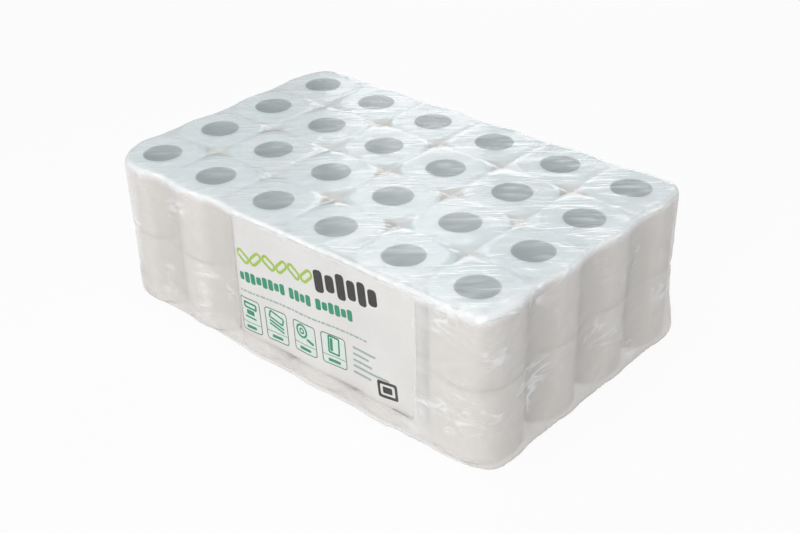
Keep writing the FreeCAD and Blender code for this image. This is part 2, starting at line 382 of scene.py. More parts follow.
# Masks of the top: a star gap between four rolls, a joint between two, what lies
# beside them, a hole, and the shaded side of a gap
def gapMasks(tree):
    radius, legs = rollRadius(tree)[:2]
    bend = filmLook["cornerRadius"]
    fromEdge = []
    squares = []
    for leg, pitch in zip(legs, (pitchX, pitchY)):
        edge = mathNode(tree, "SUBTRACT", pitch / 2, mathNode(tree, "ABSOLUTE", leg))
        toArc = mathNode(tree, "MAXIMUM", mathNode(tree, "SUBTRACT", bend, edge), 0.0)
        fromEdge.append(edge)
        squares.append(product(tree, toArc, toArc))
    reach = mathNode(tree, "SQRT", mathNode(tree, "ADD", *squares))
    wobble = noiseNode(tree, turnedPoint(tree), 22.0, 2.0)
    rag = filmLook["starRag"]
    ragged = mathNode(tree, "MULTIPLY_ADD", noiseNode(tree, turnedPoint(tree), 70.0, 2.0), rag, -rag / 2)
    starFrom, starTo = filmLook["starWidth"]
    star = rampNode(tree, mathNode(tree, "ADD", reach, ragged), bend + starFrom, bend + starTo)
    shown = noiseNode(tree, turnedPoint(tree), 11.0, 1.0)
    star = product(tree, star, rampNode(tree, shown, 0.38, 0.56, filmLook["leastStar"], 1.0))
    joints = []
    for edge, strength in zip(fromEdge, filmLook["seamStrength"]):
        width = product(tree, wobble, filmLook["seamWidth"] * 2)
        line = mathNode(tree, "SUBTRACT", 1.0, mathNode(tree, "DIVIDE", edge, width))
        joints.append(product(tree, mathNode(tree, "MAXIMUM", line, 0.0), strength))
    joint = product(tree, mathNode(tree, "MAXIMUM", *joints), rampNode(tree, wobble, 0.35, 0.6))
    nearJoint = rampNode(tree, mathNode(tree, "MINIMUM", *fromEdge), 0.0, 0.007, 1.0, 0.0)
    nearStar = rampNode(tree, reach, bend - 0.008, bend)
    hole = rampNode(tree, radius, holeRadius - 0.0003, holeRadius + 0.001, 1.0, 0.0)
    # the front side of each gap, where shade is painted
    wave = mathNode(tree, "SINE", product(tree, legs[1], 2 * math.pi / pitchY))
    gapShadedSide = rampNode(tree, mathNode(tree, "ADD", wave, product(tree, wobble, 0.8)), 0.1, 0.9)
    beside = mathNode(tree, "MAXIMUM", nearJoint, nearStar)
    return {"star": star, "joint": joint, "beside": beside, "hole": hole, "gapShadedSide": gapShadedSide}


# Threads run one way over the top, fainter over holes and towards the back edge
def topThreadMask(tree, place, masks):
    finer = product(tree, threads(tree, place, 3.6), 0.15)
    strokes = mathNode(tree, "MAXIMUM", threads(tree, place, 1.7), finer)
    patches = rampNode(tree, noiseNode(tree, turnedPoint(tree), 13.0, 2.0), 0.40, 0.60)
    calm = mathNode(tree, "SUBTRACT", 1.0, product(tree, masks["hole"], 0.6))
    position = addNode(tree, "ShaderNodeSeparateXYZ")
    tree.links.new(turnedPoint(tree), position.inputs[0])
    backward = rampNode(tree, position.outputs["Y"], *filmLook["backEdge"], 1.0, 0.25)
    return product(tree, strokes, patches, masks["topward"], calm, backward)


# Round the sides they run nearly level, some falling and some rising
def sideThreadMask(tree, crumple):
    falling = turnedPoint(tree, (11.0, 11.0, 42.0), (math.radians(10), math.radians(13), 0.0))
    rising = turnedPoint(tree, (12.0, 12.0, 50.0), (math.radians(-9), math.radians(-12), 0.0))
    broken = rampNode(tree, noiseNode(tree, turnedPoint(tree), 24.0, 2.0), 0.44, 0.56)
    bold = mathNode(tree, "MAXIMUM", threads(tree, falling, 1.0, 0.06), threads(tree, rising, 1.1, 0.052))
    faint = product(tree, threads(tree, rising, 2.4), 0.25)
    return product(tree, mathNode(tree, "MAXIMUM", product(tree, bold, broken), faint), crumple)


# Crushed facets where film is gathered
def foldMask(tree, crumple):
    bend = addNode(tree, "ShaderNodeTexNoise")
    bend.inputs["Scale"].default_value = filmLook["warpScale"]
    tree.links.new(addNode(tree, "ShaderNodeTexCoord").outputs["Object"], bend.inputs["Vector"])
    shift = addNode(tree, "ShaderNodeVectorMath", operation="SCALE")
    shift.inputs["Scale"].default_value = filmLook["warp"]
    tree.links.new(bend.outputs["Color"], shift.inputs[0])
    warped = addNode(tree, "ShaderNodeVectorMath", operation="ADD")
    tree.links.new(turnedPoint(tree, (1.0, 1.0, 1.6)), warped.inputs[0])
    tree.links.new(shift.outputs[0], warped.inputs[1])
    facets = addNode(tree, "ShaderNodeTexVoronoi", feature="DISTANCE_TO_EDGE")
    facets.inputs["Scale"].default_value = filmLook["foldScale"]
    tree.links.new(warped.outputs[0], facets.inputs["Vector"])
    return product(tree, rampNode(tree, facets.outputs["Distance"], 0.0, 0.10, 0.5, 0.0), crumple)


def layHaze(tree, shader, masks):
    haze = rampNode(tree, masks["topward"], 0.0, 1.0, filmLook["sideHaze"], filmLook["topHaze"])
    cloud = noiseNode(tree, turnedPoint(tree), filmLook["cloudScale"], 3.0, 0.55)
    haze = product(tree, haze, rampNode(tree, cloud, 0.2, 0.8, 0.9, 1.1))
    drawnTo = (("valley", "valleyHaze"), ("sheetCover", "sheetHaze"), ("hole", "holeHaze"),
               ("beside", "jointHaze"), ("bare", "bareHaze"))
    for name, amount in drawnTo:
        gain = product(tree, mathNode(tree, "SUBTRACT", filmLook[amount], haze), masks[name])
        haze = mathNode(tree, "ADD", haze, gain)
    for name, amount in (("crease", "creaseHaze"), ("threads", "threadHaze"), ("folds", "threadHaze")):
        haze = mathNode(tree, "ADD", haze, product(tree, masks[name], filmLook[amount]))
    haze = mathNode(tree, "MAXIMUM", haze, product(tree, masks["star"], filmLook["gapHaze"]))
    haze = mathNode(tree, "MINIMUM", haze, filmLook["mostHaze"])
    isShadow = addNode(tree, "ShaderNodeLightPath").outputs["Is Shadow Ray"]
    share = rampNode(tree, isShadow, 0.0, 1.0, 1.0, filmLook["shadowShare"])
    tree.links.new(product(tree, haze, share), shader.inputs["Alpha"])


def layTint(tree, shader, masks):
    # painted shade in the valleys
    tint = mixColour(tree, masks["valley"], filmLook["sideTint"], filmLook["valleyPaintedShade"])
    # painted cool sheen on the faces that look up
    tint = mixColour(tree, masks["topward"], tint, filmLook["topPaintedSheen"])
    # painted shade along the joints
    tint = mixColour(tree, product(tree, masks["joint"], 0.8), tint, filmLook["seamPaintedShade"])
    # painted light inside star gaps, with painted shade on their front side
    gap = mixColour(tree, masks["gapShadedSide"], filmLook["gapPaintedLitWall"], filmLook["gapPaintedShade"])
    tint = mixColour(tree, masks["star"], tint, gap)
    # whiter along creases, threads and folds: partly stress whitening, partly painted highlights and
    # glints
    whiteAndHighlight = product(tree, masks["crease"], filmLook["creaseWhite"])
    whiteningAndGlints = (("topThreads", "topThreadWhiteAndGlint"), ("sideThreads", "sideThreadWhiteAndGlint"), ("folds", "foldWhiteAndGlint"))
    for name, share in whiteningAndGlints:
        whiteAndHighlight = mathNode(tree, "ADD", whiteAndHighlight, product(tree, masks[name], filmLook[share]))
    whiteAndHighlight = mathNode(tree, "MINIMUM", whiteAndHighlight, 1.0)
    tree.links.new(mixColour(tree, whiteAndHighlight, tint, filmLook["whiteAndHighlight"]), shader.inputs["Base Color"])


def makeFilm():
    material, tree, shader = newMaterial("clearFilm")
    masks = gapMasks(tree)
    for name in ("crease", "topward", "inner", "sheetCover", "crumple", "valley", "bare"):
        masks[name] = addNode(tree, "ShaderNodeAttribute", attribute_name=name).outputs["Fac"]
    for name in ("star", "joint", "beside"):
        masks[name] = product(tree, masks[name], masks["inner"])
    masks["hole"] = product(tree, masks["hole"], masks["topward"])
    topPlace = turnedPoint(tree, (4.5, 34.0, 20.0), (0.0, 0.0, filmLook["threadTurn"]))
    masks["topThreads"] = topThreadMask(tree, topPlace, masks)
    masks["sideThreads"] = sideThreadMask(tree, masks["crumple"])
    masks["threads"] = mathNode(tree, "MAXIMUM", masks["topThreads"], masks["sideThreads"])
    masks["folds"] = foldMask(tree, masks["crumple"])
    layHaze(tree, shader, masks)
    layTint(tree, shader, masks)
    waves = noiseNode(tree, topPlace, 1.2, 3.0, 0.55, 0.3)
    normal = bumpNode(tree, masks["topThreads"], filmLook["topThreadDepth"], 0.8)
    normal = bumpNode(tree, masks["sideThreads"], filmLook["sideThreadDepth"], 0.9, normal)
    normal = bumpNode(tree, masks["folds"], filmLook["foldDepth"], 0.35, normal)
    normal = bumpNode(tree, waves, filmLook["waveDepth"], 0.35, normal)
    tree.links.new(normal, shader.inputs["Normal"])
    shader.inputs["Roughness"].default_value = filmLook["roughness"]
    shader.inputs["Specular IOR Level"].default_value = filmLook["specular"]
    return material


tissueMaterial = makeTissue()
boardMaterial = makeBoard()
paperMaterial = makePaper()
filmMaterial = makeFilm()
print("materials made")

# Rolls: a soft squared ring, its rims rounded and its ends a little uneven
roll = {
    "segments": 84,
    "squareness": 2.355,
    "rounder": 2.15,
    "crush": 0.0068,
    "crushTop": 0.0085,
    "crushTurn": math.radians(225),
    "inset": 0.0002,
    "rimRadius": 0.0034,
    "rimSteps": 4,
    "endRings": 6,
    "endDip": 0.0007,
    "sideDip": 0.0004,
}


def rollReach(angle, halfX, halfY, power):
    x = abs(math.cos(angle)) / halfX
    y = abs(math.sin(angle)) / halfY
    return (x ** power + y ** power) ** (-1 / power)


# Rings of a roll from the lower hole edge out, up the side and in again
def rollRings(height):
    rim = roll["rimRadius"]
    below = []
    for step in range(roll["endRings"]):
        below.append((1 - step / roll["endRings"], rim, 0.0, "end"))
    for step in range(roll["rimSteps"] + 1):
        turn = math.pi / 2 * step / roll["rimSteps"]
        below.append((0.0, rim * (1 - math.sin(turn)), rim * (1 - math.cos(turn)), "side"))
    above = [(share, inset, height - level, kind) for share, inset, level, kind in reversed(below)]
    return below + above


# How far the two rolls of the left front corner are pressed in
def crushDepth(angle, level):
    depth = roll["crush"] + roll["crushTop"] * (level / packTop) ** 1.5
    return depth * max(0.0, math.cos(angle - roll["crushTurn"])) ** 3


def makeRoll(name):
    low, high = boxOf(name)
    middle = (low + high) / 2
    halfX = rollHalfX - roll["inset"]
    halfY = rollHalfY - roll["inset"]
    height = high.z - low.z - 2 * roll["inset"]
    crushed = name.endswith("a1")
    power = roll["rounder"] if crushed else roll["squareness"]
    bm = bmesh.new()
    bmesh.ops.create_circle(bm, segments=roll["segments"], radius=1.0, cap_ends=False)
    ring = bm.edges[:]
    firstEdges = ring
    seed = Vector((middle.x * 40, middle.y * 40, low.z * 40))
    for number, (share, inset, level, kind) in enumerate(rollRings(height)):
        if number:
            made = bmesh.ops.extrude_edge_only(bm, edges=ring)["geom"]
            ring = [item for item in made if isinstance(item, bmesh.types.BMEdge)
                    and all(vert in made for vert in item.verts)]
            verts = [item for item in made if isinstance(item, bmesh.types.BMVert)]
        else:
            verts = bm.verts[:]
        for vert in verts:
            angle = math.atan2(vert.co.y, vert.co.x)
            outer = rollReach(angle, halfX, halfY, power) - inset
            if crushed:
                outer -= crushDepth(angle, low.z + level)
            reach = outer + (holeRadius - outer) * share
            z = level
            if kind == "end":
                dip = roll["endDip"] * (0.5 + 0.5 * noise.noise(seed + Vector((share * 9, angle, 0))))
                z += dip if level < height / 2 else -dip
            else:
                spot = Vector((math.cos(angle), math.sin(angle), level * 30))
                reach -= roll["sideDip"] * (1 + noise.noise(seed + spot))
            vert.co = Vector((reach * math.cos(angle), reach * math.sin(angle), z))
    bmesh.ops.bridge_loops(bm, edges=ring + firstEdges)
    bmesh.ops.translate(bm, verts=bm.verts, vec=Vector((middle.x, middle.y, low.z + roll["inset"])))
    bmesh.ops.recalc_face_normals(bm, faces=bm.faces)
    addPiece("tissue_" + name, bm, tissueMaterial, [name])


for name in rollNodes:
    makeRoll(name)
for name in coreNodes:
    nodes[name].data.materials.clear()
    nodes[name].data.materials.append(boardMaterial)
nodes["label_sheet"].data.materials.clear()
nodes["label_sheet"].data.materials.append(paperMaterial)
print("rolls made", len(rollNodes))

# Print on the sheet: plain marks, bars and boxes, in millimetres on its face
ink = {
    "pale": (0.70, 0.765, 0.725),
    "lime": (0.35, 0.53, 0.06),
    "green": (0.012, 0.27, 0.145),
    "dark": (0.018, 0.016, 0.016),
    "grey": (0.15, 0.19, 0.175),
    "mist": (0.36, 0.43, 0.40),
    "lift": 0.00012,
    "paleLift": 0.00005,
    "depth": 0.00006,
    "cutEvery": 0.006,   # so that a mark follows the sheet's curve
    "grainScale": 900.0,
    "grainDepth": 0.00005,
    "roughness": 0.55,
}

# Where the marks stand and how large they are
layout = {
    "leaves": 6,
    "leafStep": 22.4,
    "darkHeights": (30, 23, 34, 26, 31, 22),
    "darkStep": 17.3,
    "beadRuns": (8, 4, 6),
    "beadStep": 10.1,
    "runGap": 6.5,
    "dashes": 29,
    "boxes": [   # middle, width and height of each
        (-56, 59, 37, 49),
        (-10, 61, 39, 47),
        (41, 65, 40, 44),
        (89.5, 68, 40, 44),
    ],
    "noteWidths": (38, 27, 32, 58, 30),
    "noteStep": 8.6,
    "frame": (176, 50),
    "markTilt": math.radians(6.5),
    "beadTilt": math.radians(4.8),
    "dashTilt": math.radians(3.4),
    "boxTilt": math.radians(3),
    "noteTilt": math.radians(2),
    "frameTilt": math.radians(6),
}


def makeInk(name, colour):
    material, tree, shader = newMaterial(name)
    grain = noiseNode(tree, turnedPoint(tree), ink["grainScale"], 3.0, 0.6)
    lighter = tuple(min(1.0, value * 1.25 + 0.02) for value in colour)
    tone = rampNode(tree, grain, 0.35, 0.75)
    tree.links.new(mixColour(tree, tone, colour, lighter), shader.inputs["Base Color"])
    tree.links.new(bumpNode(tree, grain, ink["grainDepth"], 0.4), shader.inputs["Normal"])
    shader.inputs["Roughness"].default_value = ink["roughness"]
    return material


def sheetTree():
    bm = bmesh.new()
    bm.from_mesh(nodes["label_sheet"].data)
    tree = BVHTree.FromBMesh(bm)
    bm.free()
    return tree


# A mark is drawn flat about its middle, turned, then laid on the sheet's face
def putMark(bm, verts, x, z, tilt):
    bmesh.ops.rotate(bm, verts=verts, cent=(0, 0, 0), matrix=Matrix.Rotation(-tilt, 3, "Y"))
    bmesh.ops.translate(bm, verts=verts, vec=(x, 0, z))


def roundLoop(bm, width, height, radius):
    made = bmesh.ops.create_circle(bm, segments=24, radius=radius, cap_ends=False)["verts"]
    bmesh.ops.rotate(bm, verts=made, cent=(0, 0, 0), matrix=Matrix.Rotation(math.pi / 24, 3, "Z"))
    for vert in made:
        across = math.copysign(width / 2 - radius, vert.co.x)
        upward = math.copysign(height / 2 - radius, vert.co.y)
        vert.co = Vector((vert.co.x + across, 0, vert.co.y + upward))
    return made


def drawBar(bm, x, z, width, height, tilt=0.0, radius=None):
    verts = roundLoop(bm, width, height, radius or min(width, height) / 2 * 0.98)
    edges = {edge for vert in verts for edge in vert.link_edges}
    bmesh.ops.contextual_create(bm, geom=list(edges))
    putMark(bm, verts, x, z, tilt)


def drawRing(bm, x, z, width, height, stroke, tilt=0.0, radius=None):
    bend = radius or min(width, height) / 2 * 0.98
    outer = roundLoop(bm, width, height, bend)
    inner = roundLoop(bm, width - 2 * stroke, height - 2 * stroke, max(bend - stroke, stroke / 2))
    edges = {edge for vert in outer + inner for edge in vert.link_edges}
    bmesh.ops.bridge_loops(bm, edges=list(edges))
    putMark(bm, outer + inner, x, z, tilt)


def layInk(bm, face, key):
    bmesh.ops.scale(bm, verts=bm.verts, vec=(0.001, 0.001, 0.001))
    cuts = int((sheetHigh.x - sheetLow.x) / ink["cutEvery"])
    for cut in range(1, cuts):
        x = sheetLow.x + (sheetHigh.x - sheetLow.x) * cut / cuts
        parts = bm.verts[:] + bm.edges[:] + bm.faces[:]
        bmesh.ops.bisect_plane(bm, geom=parts, plane_co=(x, 0, 0), plane_no=(1, 0, 0))
    bmesh.ops.triangulate(bm, faces=bm.faces)
    bm.normal_update()
    for item in bm.faces:
        if item.normal.y > 0:
            item.normal_flip()
    lift = ink["paleLift" if key == "pale" else "lift"]
    for vert in bm.verts:
        hit = face.ray_cast(Vector((vert.co.x, -1.0, vert.co.z)), Vector((0, 1, 0)))[0]
        vert.co.y = (hit.y if hit else sheetLow.y) - lift
    bmesh.ops.solidify(bm, geom=bm.faces[:], thickness=ink["depth"])
    bmesh.ops.recalc_face_normals(bm, faces=bm.faces)
    piece = addPiece("print_" + key, bm, makeInk(key + "Ink", ink[key]))
    piece.data.shade_flat()


# Height at x of a row that climbs from one end of the print to the other
def rowHeight(start, end, x, left=-70.0, right=140.0):
    return start + (end - start) * (x - left) / (right - left)


def drawHeading(layers):
    tilt = layout["markTilt"]
    for number in range(layout["leaves"]):
        x = -61 + layout["leafStep"] * number
        lean = math.radians(38 if number % 2 else -38)
        drawRing(layers["lime"], x, 144 + 0.12 * (x + 60), 25, 13.5, 3.8, lean + tilt)
    for number, height in enumerate(layout["darkHeights"]):
        x = 71 + layout["darkStep"] * number
        drawBar(layers["dark"], x, 157 + 0.13 * (x - 64), 13.8, height, tilt, 5)


def drawRows(layers):
    x = -66.0
    for group, count in enumerate(layout["beadRuns"]):
        for number in range(count):
            height = 15.0 if (number + group) % 3 else 11.0
            drawBar(layers["green"], x, rowHeight(114, 131, x), 8.2, height, layout["beadTilt"], 2.6)
            x += layout["beadStep"]
        x += layout["runGap"]
    x = -71.0
    for number in range(layout["dashes"]):
        width = 4.0 + 2.2 * ((number * 7) % 3)
        drawBar(layers["mist"], x + width / 2, rowHeight(93, 105, x), width, 2.6, layout["dashTilt"])
        x += width + 1.4


def drawBoxes(layers):
    tilt = layout["boxTilt"]
    for x, z, width, height in layout["boxes"]:
        drawBar(layers["pale"], x, z, width - 2, height - 2, tilt, 4)
        drawRing(layers["grey"], x, z, width, height, 1.5, tilt, 5)
        drawBar(layers["grey"], x, z - height / 2 + 13, width - 3.4, 0.9, tilt)
        drawBar(layers["green"], x, z - height / 2 + 6.5, width * 0.5, 4.4, tilt)
    places = [box[:2] for box in layout["boxes"]]
    green = layers["green"]
    x, z = places[0]   # a wide lid over a small pad
    drawRing(green, x, z + 14, 24, 10, 3.0, 0.0, 3)
    drawBar(green, x, z + 4, 14, 7, 0.0, 2)
    drawBar(green, x, z - 3.5, 20, 2.6)
    x, z = places[1]   # a pile of plies
    drawRing(green, x, z + 12, 26, 12, 2.6, math.radians(-14), 3)
    for step in range(2):
        drawBar(green, x, z + 2.2 - 5 * step, 26, 2.8, math.radians(-14))
    x, z = places[2]   # a roll with its end drawn out
    drawRing(green, x - 5, z + 9, 20, 20, 2.9)
    drawRing(green, x - 5, z + 9, 9, 9, 2.3)
    drawBar(green, x + 9.5, z - 1.5, 13, 4.0, math.radians(-18))
    x, z = places[3]   # a tall plain sheet
    drawRing(green, x, z + 7, 19, 26, 2.6, 0.0, 3)
    drawBar(green, x - 4, z + 7, 4.4, 19)


# Lines of a note, and a framed square with a short line under it
def drawNotes(layers):
    for number, width in enumerate(layout["noteWidths"]):
        z = 86.5 - layout["noteStep"] * number + 0.03 * width
        drawBar(layers["mist"], 121 + width / 2, z, width, 3.2, layout["noteTilt"])
    x, z = layout["frame"]
    drawRing(layers["dark"], x, z, 30, 23, 4.0, layout["frameTilt"], 3)
    drawBar(layers["dark"], x, z, 14, 9, layout["frameTilt"], 1.5)
    drawBar(layers["grey"], x + 20, z - 22, 25, 1.6)


def printSheet():
    layers = {key: bmesh.new() for key in ("pale", "lime", "green", "dark", "grey", "mist")}
    drawHeading(layers)
    drawRows(layers)
    drawBoxes(layers)
    drawNotes(layers)
    face = sheetTree()
    for key, bm in layers.items():
        layInk(bm, face, key)


printSheet()
print("print laid on the sheet")

# Film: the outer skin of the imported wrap, remeshed and drawn into wrinkles
film = {
    "voxel": 0.0033,
    "smoothing": 4,
    "seed": 7,
    "streaks": 240,
    "streakTurn": math.radians(41.7),
    "streakSpread": 0.13,
    "streakLength": (0.03, 0.10),
    "streakWidth": (0.002, 0.0036),
    "streakHeight": 0.0005,
    "broadHeight": 0.0003,
    "jointSink": 0.0006,
    "jointReach": 0.0045,
    "foldSpread": 16,
    "foldWidth": (0.0021, 0.0038),
    "foldReach": 0.012,
    "webFoot": 0.85,
    "webHead": 0.22,
    "webMiddle": 0.3,
    "webMost": 0.92,
    "webSway": 0.012,
    "footHeight": 0.036,
    "headHeight": 0.022,
    "footBulge": 0.006,
    "footReach": 0.075,
    "sideWave": 0.0010,
    "waistSink": 0.0012,
    "waistReach": 0.0065,
    "rimCrinkle": 0.0005,
    "rimWave": 0.0022,
    "cornerBend": 0.0465,
    "cornerPull": 0.006,
    "cornerReach": 0.036,
}

# How square the film is drawn at each upright corner: (side in x, side in y), power
corners = [((1, -1), 4.4), ((1, 1), 2.5), ((-1, 1), 2.5), ((-1, -1), 2.15)]

# Gathers round the sides: face, two ends of the strip they lie in (along, height),
# how many, lean in degrees, length and height in millimetres
gathers = [
    ("front", (0.225, 0.160), (0.318, 0.196), 26, -12, 44, 1.5),
    ("front", (0.225, 0.030), (0.300, 0.105), 24, -18, 34, 1.5),
    ("front", (0.222, 0.090), (0.315, 0.130), 12, 9, 60, 1.5),
    ("front", (-0.100, 0.004), (0.220, 0.030), 30, -20, 30, 1.0),
    ("front", (-0.320, 0.085), (-0.090, 0.125), 16, 6, 36, 0.9),
    ("front", (-0.320, 0.150), (-0.090, 0.195), 12, -14, 30, 0.7),
    ("front", (-0.320, 0.008), (-0.100, 0.070), 14, -10, 34, 0.8),
    ("right", (-0.200, 0.100), (0.190, 0.150), 20, -14, 30, 0.8),
    ("right", (-0.200, 0.010), (0.190, 0.075), 14, -22, 28, 0.7),
    ("right", (-0.200, 0.120), (-0.150, 0.196), 10, 30, 34, 1.0),
    ("left", (-0.195, 0.010), (0.195, 0.190), 60, 14, 32, 0.9),
    ("back", (-0.315, 0.010), (0.315, 0.190), 90, -16, 34, 0.9),
]


def linkedTo(start):
    found = {start}
    waiting = [start]
    while waiting:
        vert = waiting.pop()
        for edge in vert.link_edges:
            other = edge.other_vert(vert)
            if other not in found:
                found.add(other)
                waiting.append(other)
    return found


def outerSkin():
    bm = bmesh.new()
    bm.from_mesh(nodes["film_wrap"].data)
    bmesh.ops.remove_doubles(bm, verts=bm.verts, dist=1e-6)
    bm.verts.ensure_lookup_table()
    outside = linkedTo(max(bm.verts, key=lambda vert: vert.co.z))
    inside = [vert for vert in bm.verts if vert not in outside]
    bmesh.ops.delete(bm, geom=inside, context="VERTS")
    return bm


def remeshed(bm, voxel):
    mesh = bpy.data.meshes.new("skin")
    bm.to_mesh(mesh)
    bm.free()
    piece = bpy.data.objects.new("skin", mesh)
    bpy.context.scene.collection.objects.link(piece)
    modifier = piece.modifiers.new("remesh", "REMESH")
    modifier.mode = "VOXEL"
    modifier.voxel_size = voxel
    bpy.context.view_layer.update()
    evaluated = piece.evaluated_get(bpy.context.evaluated_depsgraph_get())
    result = bmesh.new()
    result.from_mesh(evaluated.to_mesh())
    bpy.data.objects.remove(piece)
    return result


def smoothstep(low, high, value):
    share = np.clip((value - low) / (high - low), 0.0, 1.0)
    return share * share * (3 - 2 * share)


def bell(distance, reach):
    return np.exp(-(distance / reach) ** 2)


def noiseOver(points):
    return np.array([noise.noise(Vector(point)) for point in points])


def noiseAt(place, scale, shift=0.0):
    return noiseOver(place * scale + (0.0, 0.0, shift))


def ridges(points, sharpness):
    return (1 - np.abs(noiseOver(points))) ** sharpness


# One fold: a ridge along a line, steep on one side, fading out at both ends
def foldRidge(place, start, along, across, length, width):
    offset = place - start
    travel = offset @ along
    beside = offset @ across
    spread = np.where(beside > 0, width, width * 2.1)
    toEnd = np.clip(np.abs(travel) / (length / 2), 0.0, 1.0)
    away = np.sum(offset * offset, axis=1) - travel ** 2 - beside ** 2
    near = np.exp(-np.maximum(away, 0.0) / film["foldReach"] ** 2)
    return bell(beside, spread) * (1 - toEnd ** 2) ** 2 * near


def topStreaks(place, chance):
    field = np.zeros(len(place))
    shortest, longer = film["streakLength"]
    for number in range(film["streaks"]):
        x, y = chance.uniform(filmLow.x, filmHigh.x), chance.uniform(filmLow.y, filmHigh.y)
        turn = film["streakTurn"] + chance.normal(0, film["streakSpread"])
        length = shortest + longer * chance.random() ** 2
        along = np.array((math.cos(turn), math.sin(turn), 0.0))
        across = np.array((-math.sin(turn), math.cos(turn), 0.0))
        width = chance.uniform(*film["streakWidth"])
        ridge = foldRidge(place, (x, y, packTop), along, across, length, width)
        field = np.maximum(field, ridge * chance.uniform(0.35, 1.0))
    return field


def sideGathers(place, chance):
    field = np.zeros(len(place))
    for face, low, high, count, lean, length, height in gathers:
        sign = -1 if face in ("front", "left") else 1
        lengthwise = face in ("front", "back")
        for number in range(count):
            spot = chance.uniform(low[0], high[0])
            level = chance.uniform(low[1], high[1])
            turn = math.radians(lean + chance.normal(0, film["foldSpread"]))
            if lengthwise:
                start = (spot, sign * filmHigh.y, level)
                along = np.array((math.cos(turn), 0.0, math.sin(turn)))
                outward = np.array((0.0, sign, 0.0))
            else:
                start = (sign * filmHigh.x, spot, level)
                along = np.array((0.0, math.cos(turn), math.sin(turn)))
                outward = np.array((sign, 0.0, 0.0))
            across = np.cross(along, outward)
            reach = 0.001 * length * chance.uniform(0.5, 1.5)
            ridge = foldRidge(place, start, along, across, reach, chance.uniform(*film["foldWidth"]))
            field = np.maximum(field, ridge * 0.001 * height * chance.uniform(0.4, 1.0))
    return field


# Film stands off the corner rolls where it is drawn squarer than they are
def squareCorners(place):
    x, y, z = place.T
    slack = 0.75 + 0.25 * np.cos((z - packTop) / packTop * 2 * np.pi)
    for (signX, signY), power in corners:
        awayX = x * signX - (filmHigh.x - film["cornerBend"])
        awayY = y * signY - (filmHigh.y - film["cornerBend"])
        reach = np.maximum(np.hypot(awayX, awayY), 1e-6)
        inside = (awayX > 0) & (awayY > 0)
        bend = 2 + (power - 2) * slack
        shares = np.abs(awayX / reach) ** bend + np.abs(awayY / reach) ** bend
        grow = np.where(inside, shares ** (-1 / bend) - 1, 0.0)
        place[:, 0] += signX * awayX * grow
        place[:, 1] += signY * awayY * grow


# The left front corner is pressed in, and the roll behind it further still
def pressCorner(place):
    x, y = place.T[:2]
    pressed = bell(np.hypot(x + filmHigh.x - 0.0137, y + filmHigh.y - 0.0137), film["cornerReach"])
    place[:, :2] += (film["cornerPull"] * math.sqrt(0.5) * pressed)[:, None]


# Film bridges the valleys between rolls, most of all at the foot
def bridgeValleys(place, side):
    x, y, z = place.T
    onLong = (filmHigh.y - np.abs(y) < 0.03) * smoothstep(cornerX + 0.012, cornerX - 0.012, np.abs(x))
    onShort = (filmHigh.x - np.abs(x) < 0.03) * smoothstep(cornerY + 0.012, cornerY - 0.012, np.abs(y))
    footRound = 0.0006 + 0.9 * np.maximum(0.007 - z, 0)
    sway = film["webSway"] * noiseAt(place, (14, 14, 0))
    foot = film["webFoot"] * smoothstep(film["footHeight"], 0.006, z + sway)
    head = film["webHead"] * smoothstep(packTop - film["headHeight"], packTop - 0.004, z + sway * 0.5)
    bridge = np.clip(film["webMiddle"] + foot + head, 0.0, film["webMost"])
    depthY = np.maximum(filmHigh.y - footRound - np.abs(y), 0) * onLong
    depthX = np.maximum(filmHigh.x - footRound - np.abs(x), 0) * onShort
    besideSheet = (y < 0) * bell(x - sheetHigh.x, 0.025) * onLong
    # how deep a valley lies, for the painted shade in it, weaker beside the sheet
    valley = smoothstep(0.0003, 0.0055, depthX + depthY) * side * (1 - bridge) * (1 - 0.7 * besideSheet)
    place[:, 1] += np.sign(y) * depthY * bridge
    place[:, 0] += np.sign(x) * depthX * bridge
    return {"valley": valley, "besideSheet": besideSheet, "onLong": onLong}


# Long streaks over the top, and the joints between rolls a little sunk
def shapeTop(place, marks, chance):
    x, y = place.T[:2]
    up = marks["up"]
    streak = topStreaks(place, chance) * up * smoothstep(filmHigh.y - 0.006, filmHigh.y - 0.06, y)
    across = np.column_stack(((x + y) * 6, (y - x) * 26, np.full(len(x), 7.0)))
    broad = ridges(across, 5) * up
    toJointX = np.abs((x / pitchX + columns / 2 + 0.5) % 1 - 0.5) * pitchX
    toJointY = np.abs((y / pitchY + rows / 2 + 0.5) % 1 - 0.5) * pitchY
    inner = up * smoothstep(filmHigh.x - 0.012, filmHigh.x - 0.04, np.abs(x))
    inner = inner * smoothstep(filmHigh.y - 0.012, filmHigh.y - 0.04, np.abs(y))
    sink = bell(toJointX, film["jointReach"]) + 0.6 * bell(toJointY, film["jointReach"])
    marks.update(streak=streak, broad=broad, inner=inner)
    return film["streakHeight"] * streak + film["broadHeight"] * broad - film["jointSink"] * sink * inner


# Where the film lies on the printed sheet
def sheetMask(place, normal):
    x, y, z = place.T
    mask = (y < 0) & (np.abs(normal[:, 1]) > 0.5)
    for value, low, high in ((x, sheetLow.x, sheetHigh.x), (z, sheetLow.z, sheetHigh.z)):
        mask = mask * smoothstep(low - 0.004, low + 0.004, value)
        mask = mask * smoothstep(high + 0.004, high - 0.004, value)
    return mask


